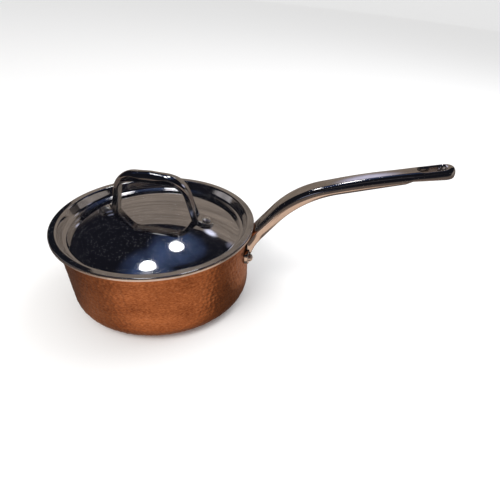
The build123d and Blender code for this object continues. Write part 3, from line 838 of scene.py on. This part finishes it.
    # the neck is cut back where it would run into the pan's wall and lip
    reach = np.hypot(grid[..., 0], grid[..., 1])
    wall = h["wallAtBase"] + h["plateMiddle"] * lean
    rim = lipRadius + h["clear"]
    keepOut = np.interp(grid[..., 2], [40, 64, 66, lipUnder - 5, lipUnder - 0.6, flangeTop + h["clear"],
                                       flangeTop + h["clear"] + 0.05],
                        [wall + 1.5, wall + 1.5, wall + 1.3, wall + 1.3, rim, rim, 0])
    push = np.maximum(keepOut / np.maximum(reach, 1e-6), 1.0)
    grid[..., 0] *= push
    grid[..., 1] *= push
    return grid, rims[0][:, 0]


# Quads of one half; the slot's wall joins the last column to the first only where the slot is.
def handleHalf(grid, slotEdge, mirrored, first):
    rows, columns = grid.shape[:2]
    points = grid.reshape(-1, 3) * ([1, -1, 1] if mirrored else [1, 1, 1])
    faces = np.array(gridQuads(rows, columns, closed=False, first=0))
    openRows = np.flatnonzero((slotEdge[:-1] > 0) | (slotEdge[1:] > 0))
    inner = np.stack([openRows * columns + columns - 1, openRows * columns,
                      (openRows + 1) * columns, (openRows + 1) * columns + columns - 1], axis=-1)
    faces = np.concatenate([faces, inner])
    if not mirrored:
        faces = faces[:, ::-1]
    return points, (faces + first).tolist()


# Foot plate: a rounded oblong laid on the pan's wall, point = (r cos(y / r), r sin(y / r), z).
def footPlate(first):
    h = handle
    columns, e = 96, h["plateEdge"]
    a = np.linspace(0, 2 * pi, columns, endpoint=False)
    outlineY = np.sign(np.cos(a)) * np.abs(np.cos(a)) ** (2 / 3.6)
    outlineZ = np.sign(np.sin(a)) * np.abs(np.sin(a)) ** (2 / 3.2)
    turn = np.linspace(0, pi / 2, 5)
    inset = np.concatenate([[9.0, 6.0, 3.5, 2.0], e * (1 - np.sin(turn)), [0.0, 0.4, 6.0]])
    proud = np.concatenate([np.full(4, h["plateThick"]), h["plateThick"] - e * (1 - np.cos(turn)),
                            [0.2, 0.02, 0.02]])
    y = (h["plateHalf"][0] - inset[:, None]) * outlineY
    z = h["plateMiddle"] + (h["plateHalf"][1] - inset[:, None]) * outlineZ
    y = np.concatenate([y, [[0.0] * columns]])
    z = np.concatenate([z, [[h["plateMiddle"]] * columns]])
    proud = np.append(proud, 0.02)[:, None]
    r = h["wallAtBase"] + z * lean + proud
    points = np.stack([r * np.cos(y / r), r * np.sin(y / r), z], axis=-1)
    middle = [h["wallAtBase"] + h["plateMiddle"] * lean + h["plateThick"], 0, h["plateMiddle"]]
    points = np.concatenate([points.reshape(-1, 3), [middle]])
    faces = gridQuads(len(z), columns, first=first) + poleFan(first + len(points) - 1, first, columns)
    return points, faces


grid, slotEdge = handleGrid()
pointsA, facesA = handleHalf(grid, slotEdge, False, 0)
pointsB, facesB = handleHalf(grid, slotEdge, True, len(pointsA))
rootCap = [list(range(grid.shape[1])), [len(pointsA) + k for k in range(grid.shape[1])][::-1]]
pointsC, facesC = footPlate(len(pointsA) + len(pointsB))
longHandle = meshPiece("longHandle", np.concatenate([pointsA, pointsB, pointsC]),
                       facesA + facesB + rootCap + facesC, sharpAngle=55, tidy=True)
handleLook = {"broad": 20.0, "small": 150.0,
              "marks": [(0.06, 1500.0, 14.0, 0.64), (1.5, 1600.0, 40.0, 0.72)],
              "dustScale": 1500.0, "dustSize": 0.12, "dustSpread": 0.16, "wear": 0.6,
              "dark": (0.55, 0.52, 0.50), "light": (0.70, 0.67, 0.65), "worn": (0.92, 0.90, 0.88),
              "dustColour": (0.6, 0.57, 0.54), "roughLow": 0.06, "roughHigh": 0.13, "roughMark": 0.26,
              "waviness": 0.5, "bump": 0.18, "bumpDepth": 0.00016}
longHandle.data.materials.append(steelMaterial("polishedHandle", handleLook))
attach(longHandle, "pan")
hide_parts("long_handle")
print("long handle:", len(longHandle.data.polygons), "faces")

# Loop of the lid
rivetLow, rivetHigh = (np.array(corner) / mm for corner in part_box("lid_rivet_right"))
rivetMiddle = (rivetLow + rivetHigh) / 2
loop = {
    "turn": atan2(rivetMiddle[1], rivetMiddle[0]), "top": 143.2, "under": 132.0, "rise": 2.2,
    "corner": 35.0, "ankle": 45.8, "legThick": 6.2, "outerRound": 27.0, "innerRound": 14.0,
    "ankleRound": 4.0, "heelRound": 1.4, "footThick": 3.2, "footEnd": 61.0, "rivetAt": 53.1,
    "gripHalf": 13.2, "legHalf": 5.0, "footHalf": 8.0, "crown": (0.6, 6.6), "edge": 0.9,
    "undercut": 2.3, "ankleHigh": 96.8, "heelHigh": 98.0, "gripReach": 41.0, "gripPower": 1.4,
    "footRamp": (42.0, 11.0), "crownReach": 38.0, "crownFade": 6.0, "leastCrown": 0.01,
    "crowding": 1.8, "faceCuts": 17, "flatCuts": 11, "edgeCuts": 5, "sideCuts": (0.85, 0.6, 0.4, 0.15)}


# Half the strap's width at a distance from the lid's middle: wide grip, narrow leg, round foot.
def loopHalfAt(x):
    q = loop
    x = np.abs(x)
    grip = 1 - smoothRise(np.clip(x / q["gripReach"], 0, 1) ** q["gripPower"])
    foot = riseOver(x, q["footRamp"])
    half = q["legHalf"] + (q["gripHalf"] - q["legHalf"]) * grip + (q["footHalf"] - q["legHalf"]) * foot
    beyond = np.maximum(x - (q["footEnd"] - q["footHalf"]), 0)
    return np.minimum(half, np.sqrt(np.maximum(q["footHalf"] ** 2 - beyond ** 2, 0)))


# Strap carried from a foot over the grip: outer and inner lines are paired point by point. The
# section between them is a crowned face, a rounded edge, a side that leans in, a rounded edge and
# a flat face. Crown = sqrt(R R - y y) - (R - bulge), an arc that ends at the slope "start".
def loopGrid():
    q = loop
    tilt = asin(q["rivetAt"] / domeRadius)
    seatRadius = domeRadius + q["footThick"]
    seatX, seatZ = seatRadius * sin(tilt), domeCentre + seatRadius * cos(tilt)
    legSlope = (q["ankle"] - q["corner"]) / (q["top"] - q["ankleHigh"])

    def footTop(x):
        return x, seatZ - (x - seatX) * tan(tilt)

    def footUnder(x):
        return x, domeCentre + sqrt(domeRadius ** 2 - x ** 2)

    def innerX(z):
        return q["corner"] + (q["top"] - z) * legSlope - q["legThick"]

    runs, arcs = [16, 18, 14], [9, 16]
    outer = roundedPath([footTop(q["footEnd"]), footTop(q["ankle"]), (q["corner"], q["top"] - q["rise"]),
                         (0, q["top"])], [q["ankleRound"], q["outerRound"]], runs, arcs, q["crowding"])
    inner = roundedPath([footUnder(q["footEnd"]), footUnder(innerX(q["heelHigh"])),
                         (innerX(q["under"]), q["under"]), (0, q["under"])],
                        [q["heelRound"], q["innerRound"]], runs, arcs, q["crowding"])
    outer = np.concatenate([outer, outer[-2::-1] * [-1, 1]])
    inner = np.concatenate([inner, inner[-2::-1] * [-1, 1]])
    gap = outer - inner
    thick = np.linalg.norm(gap, axis=1)[:, None]
    out = gap / thick
    middle = np.abs((outer + inner)[:, :1]) / 2
    bulge = q["crown"][0] + (q["crown"][1] - q["crown"][0]) * (1 - smoothRise(middle / q["crownReach"]))
    bulge = bulge * (1 - riseOver(middle, (q["crownReach"], q["crownFade"])))
    bulge = np.maximum(bulge, q["leastCrown"])
    half = loopHalfAt(middle)
    edge = np.minimum(q["edge"], np.minimum(0.45 * half, 0.42 * (thick - bulge)))
    shoulder = thick - bulge
    span = half - edge
    ball = (span ** 2 + bulge ** 2) / (2 * bulge)      # radius of the crown's arc
    start = np.arcsin(np.clip(span / ball, 0, 1))      # its slope where the edge takes over
    slant, level = np.sin(start), np.ones_like(start)

    # columns of the section: across as (share of span, share of edge), height likewise; the left
    # side repeats the right one backwards, and nan marks the straight sides
    face = np.sin(np.linspace(-pi / 2, pi / 2, q["faceCuts"]))
    flat = np.linspace(1, -1, q["flatCuts"])
    turn = np.linspace(0, pi / 2, q["edgeCuts"] + 2)[1:-1]
    topEdge = start + (pi / 2 - start) * turn / (pi / 2)
    onEdge, onSide = np.ones(q["edgeCuts"]), np.ones(len(q["sideCuts"]))
    right = np.ones(2 * len(onEdge) + len(onSide))
    rightEdge = np.concatenate([np.sin(topEdge) - slant, onSide * (1 - slant),
                                np.cos(turn) - slant], axis=1)
    rightLift = np.concatenate([onEdge, q["sideCuts"], 0 * onEdge])
    rightBite = np.concatenate([np.cos(start) - np.cos(topEdge), onSide * level * np.nan,
                                (np.sin(turn) - 1) * level], axis=1)
    yBase = np.concatenate([face, right, flat, -right])
    yEdge = np.concatenate([0 * face * level, rightEdge, -flat * slant, -rightEdge[:, ::-1]], axis=1)
    lift = np.concatenate([np.ones(len(face)), rightLift, np.zeros(len(flat)), rightLift[::-1]])
    bite = np.concatenate([0 * face * level, rightBite, 0 * flat * level, rightBite[:, ::-1]], axis=1)
    arc = np.sqrt(np.maximum(ball ** 2 - (span * yBase[None, :]) ** 2, 0)) - (ball - bulge)
    height = np.where(lift == 1, shoulder + arc, 0.0) - edge * np.nan_to_num(bite)
    sideHeight = edge + (shoulder - 2 * edge) * lift
    height = np.where(np.isnan(bite), sideHeight, height)
    x = inner[:, :1] + out[:, :1] * height
    z = inner[:, 1:] + out[:, 1:] * height
    halfHere = loopHalfAt(x)
    edgeHere = np.minimum(edge, 0.45 * halfHere)
    tuck = q["undercut"] * (bulge / q["crown"][1]) * np.clip(1 - height / shoulder, 0, 1)
    y = (halfHere - edgeHere - tuck) * yBase + edgeHere * yEdge
    c, s = cos(q["turn"]), sin(q["turn"])
    return np.stack([x * c - y * s, x * s + y * c, z], axis=-1)


grid = loopGrid()
rows, columns = grid.shape[:2]
gripLoop = meshPiece("gripLoop", grid.reshape(-1, 3), gridQuads(rows, columns), sharpAngle=50, tidy=True)
loopLook = dict(handleLook, dark=(0.52, 0.52, 0.52), light=(0.68, 0.67, 0.66), broad=30.0)
gripLoop.data.materials.append(steelMaterial("polishedLoop", loopLook))
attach(gripLoop, "lid")
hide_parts("lid_handle")
print("loop:", len(gripLoop.data.polygons), "faces")

# Rivets
# Painted highlight: the rivets get a rougher but much lighter copy of the handle's steel, so that their
# heads look lit.
litRivetLook = dict(handleLook, dark=(0.76, 0.73, 0.70), light=(0.90, 0.87, 0.83),
                 roughLow=0.30, roughHigh=0.42, broad=90.0)
litRivetSteel = steelMaterial("satinRivet", litRivetLook)
for rivetName in ("handle_rivet_near", "handle_rivet_far", "lid_rivet_left", "lid_rivet_right"):
    paint(rivetName, litRivetSteel)
print("rivets painted")
